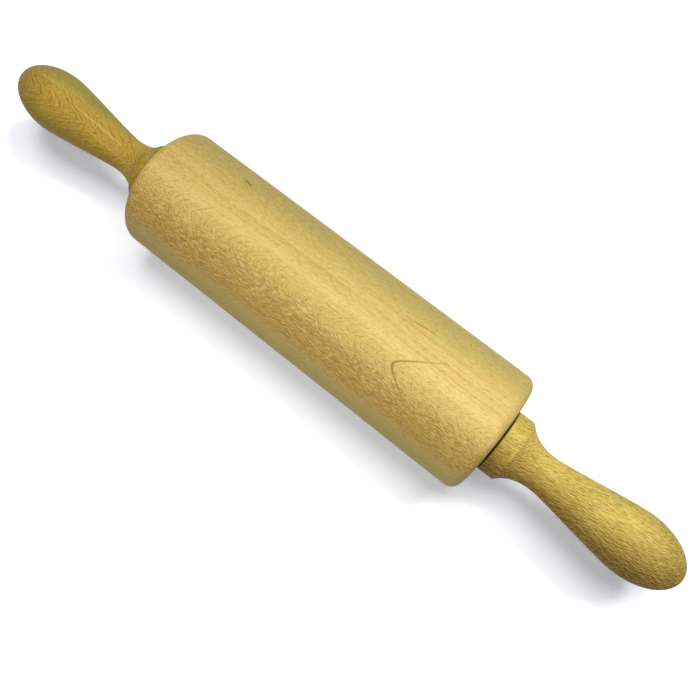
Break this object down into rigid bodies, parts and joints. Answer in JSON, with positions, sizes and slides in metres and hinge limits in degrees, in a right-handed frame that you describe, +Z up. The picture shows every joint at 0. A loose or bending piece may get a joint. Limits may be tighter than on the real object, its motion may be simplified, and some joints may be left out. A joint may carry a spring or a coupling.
{
  "type": "rolling pin with handles",
  "caption": "Turned beech rolling pin: a round-edged barrel spins on ball bearings over a steel axle, with a bulb-ended handle fixed at each end.",
  "frame": {"origin": "on the table, under the middle of the barrel", "axes": "+X along the pin towards the right handle, +Z up, away from the table"},
  "size_m": [0.417, 0.065, 0.065],
  "materials": {
    "barrel_beech": "turned and sanded beech, bare or lightly oiled, with satin sheen",
    "left_handle_beech": "turned beech, darker and redder, wavy figure, satin sheen",
    "right_handle_beech": "turned beech, straight grain with short dark flecks, satin sheen",
    "axle_steel": "drawn bright steel",
    "spring_steel": "phosphated spring steel",
    "bearing_steel": "ground bearing steel",
    "ball_steel": "lapped bearing steel",
    "shield_steel": "pressed steel sheet",
    "brass": "turned brass",
    "cage_nylon": "moulded natural nylon"
  },
  "bodies": {
    "axle_and_handles": {"axle_rod": "axle_steel", "left_handle": "left_handle_beech", "right_handle": "right_handle_beech", "left_threaded_insert": "brass", "right_threaded_insert": "brass", "left_spacer_washer": "axle_steel", "right_spacer_washer": "axle_steel", "left_retaining_ring": "spring_steel", "right_retaining_ring": "spring_steel", "left_bearing_inner_ring": "bearing_steel", "right_bearing_inner_ring": "bearing_steel"},
    "barrel": {"barrel": "barrel_beech", "left_bearing_outer_ring": "bearing_steel", "right_bearing_outer_ring": "bearing_steel", "left_bearing_outer_shield": "shield_steel", "right_bearing_outer_shield": "shield_steel", "left_bearing_inner_shield": "shield_steel", "right_bearing_inner_shield": "shield_steel"},
    "left_cage": {"left_bearing_cage": "cage_nylon", "left_bearing_ball_1": "ball_steel", "left_bearing_ball_2": "ball_steel", "left_bearing_ball_3": "ball_steel", "left_bearing_ball_4": "ball_steel", "left_bearing_ball_5": "ball_steel", "left_bearing_ball_6": "ball_steel", "left_bearing_ball_7": "ball_steel"},
    "right_cage": {"right_bearing_cage": "cage_nylon", "right_bearing_ball_1": "ball_steel", "right_bearing_ball_2": "ball_steel", "right_bearing_ball_3": "ball_steel", "right_bearing_ball_4": "ball_steel", "right_bearing_ball_5": "ball_steel", "right_bearing_ball_6": "ball_steel", "right_bearing_ball_7": "ball_steel"}
  },
  "joints": [
    {"name": "barrel_spin", "type": "hinge", "parent": "axle_and_handles", "child": "barrel", "pos_m": [0, 0, 0.0325], "axis": [1, 0, 0], "continuous": true},
    {"name": "left_cage_spin", "type": "hinge", "parent": "axle_and_handles", "child": "left_cage", "pos_m": [-0.101, 0, 0.0325], "axis": [1, 0, 0], "continuous": true},
    {"name": "right_cage_spin", "type": "hinge", "parent": "axle_and_handles", "child": "right_cage", "pos_m": [0.101, 0, 0.0325], "axis": [1, 0, 0], "continuous": true}
  ],
  "couplings": [
    {"joint": "left_cage_spin", "follows": "barrel_spin", "ratio": 0.6323},
    {"joint": "right_cage_spin", "follows": "barrel_spin", "ratio": 0.6323}
  ]
}
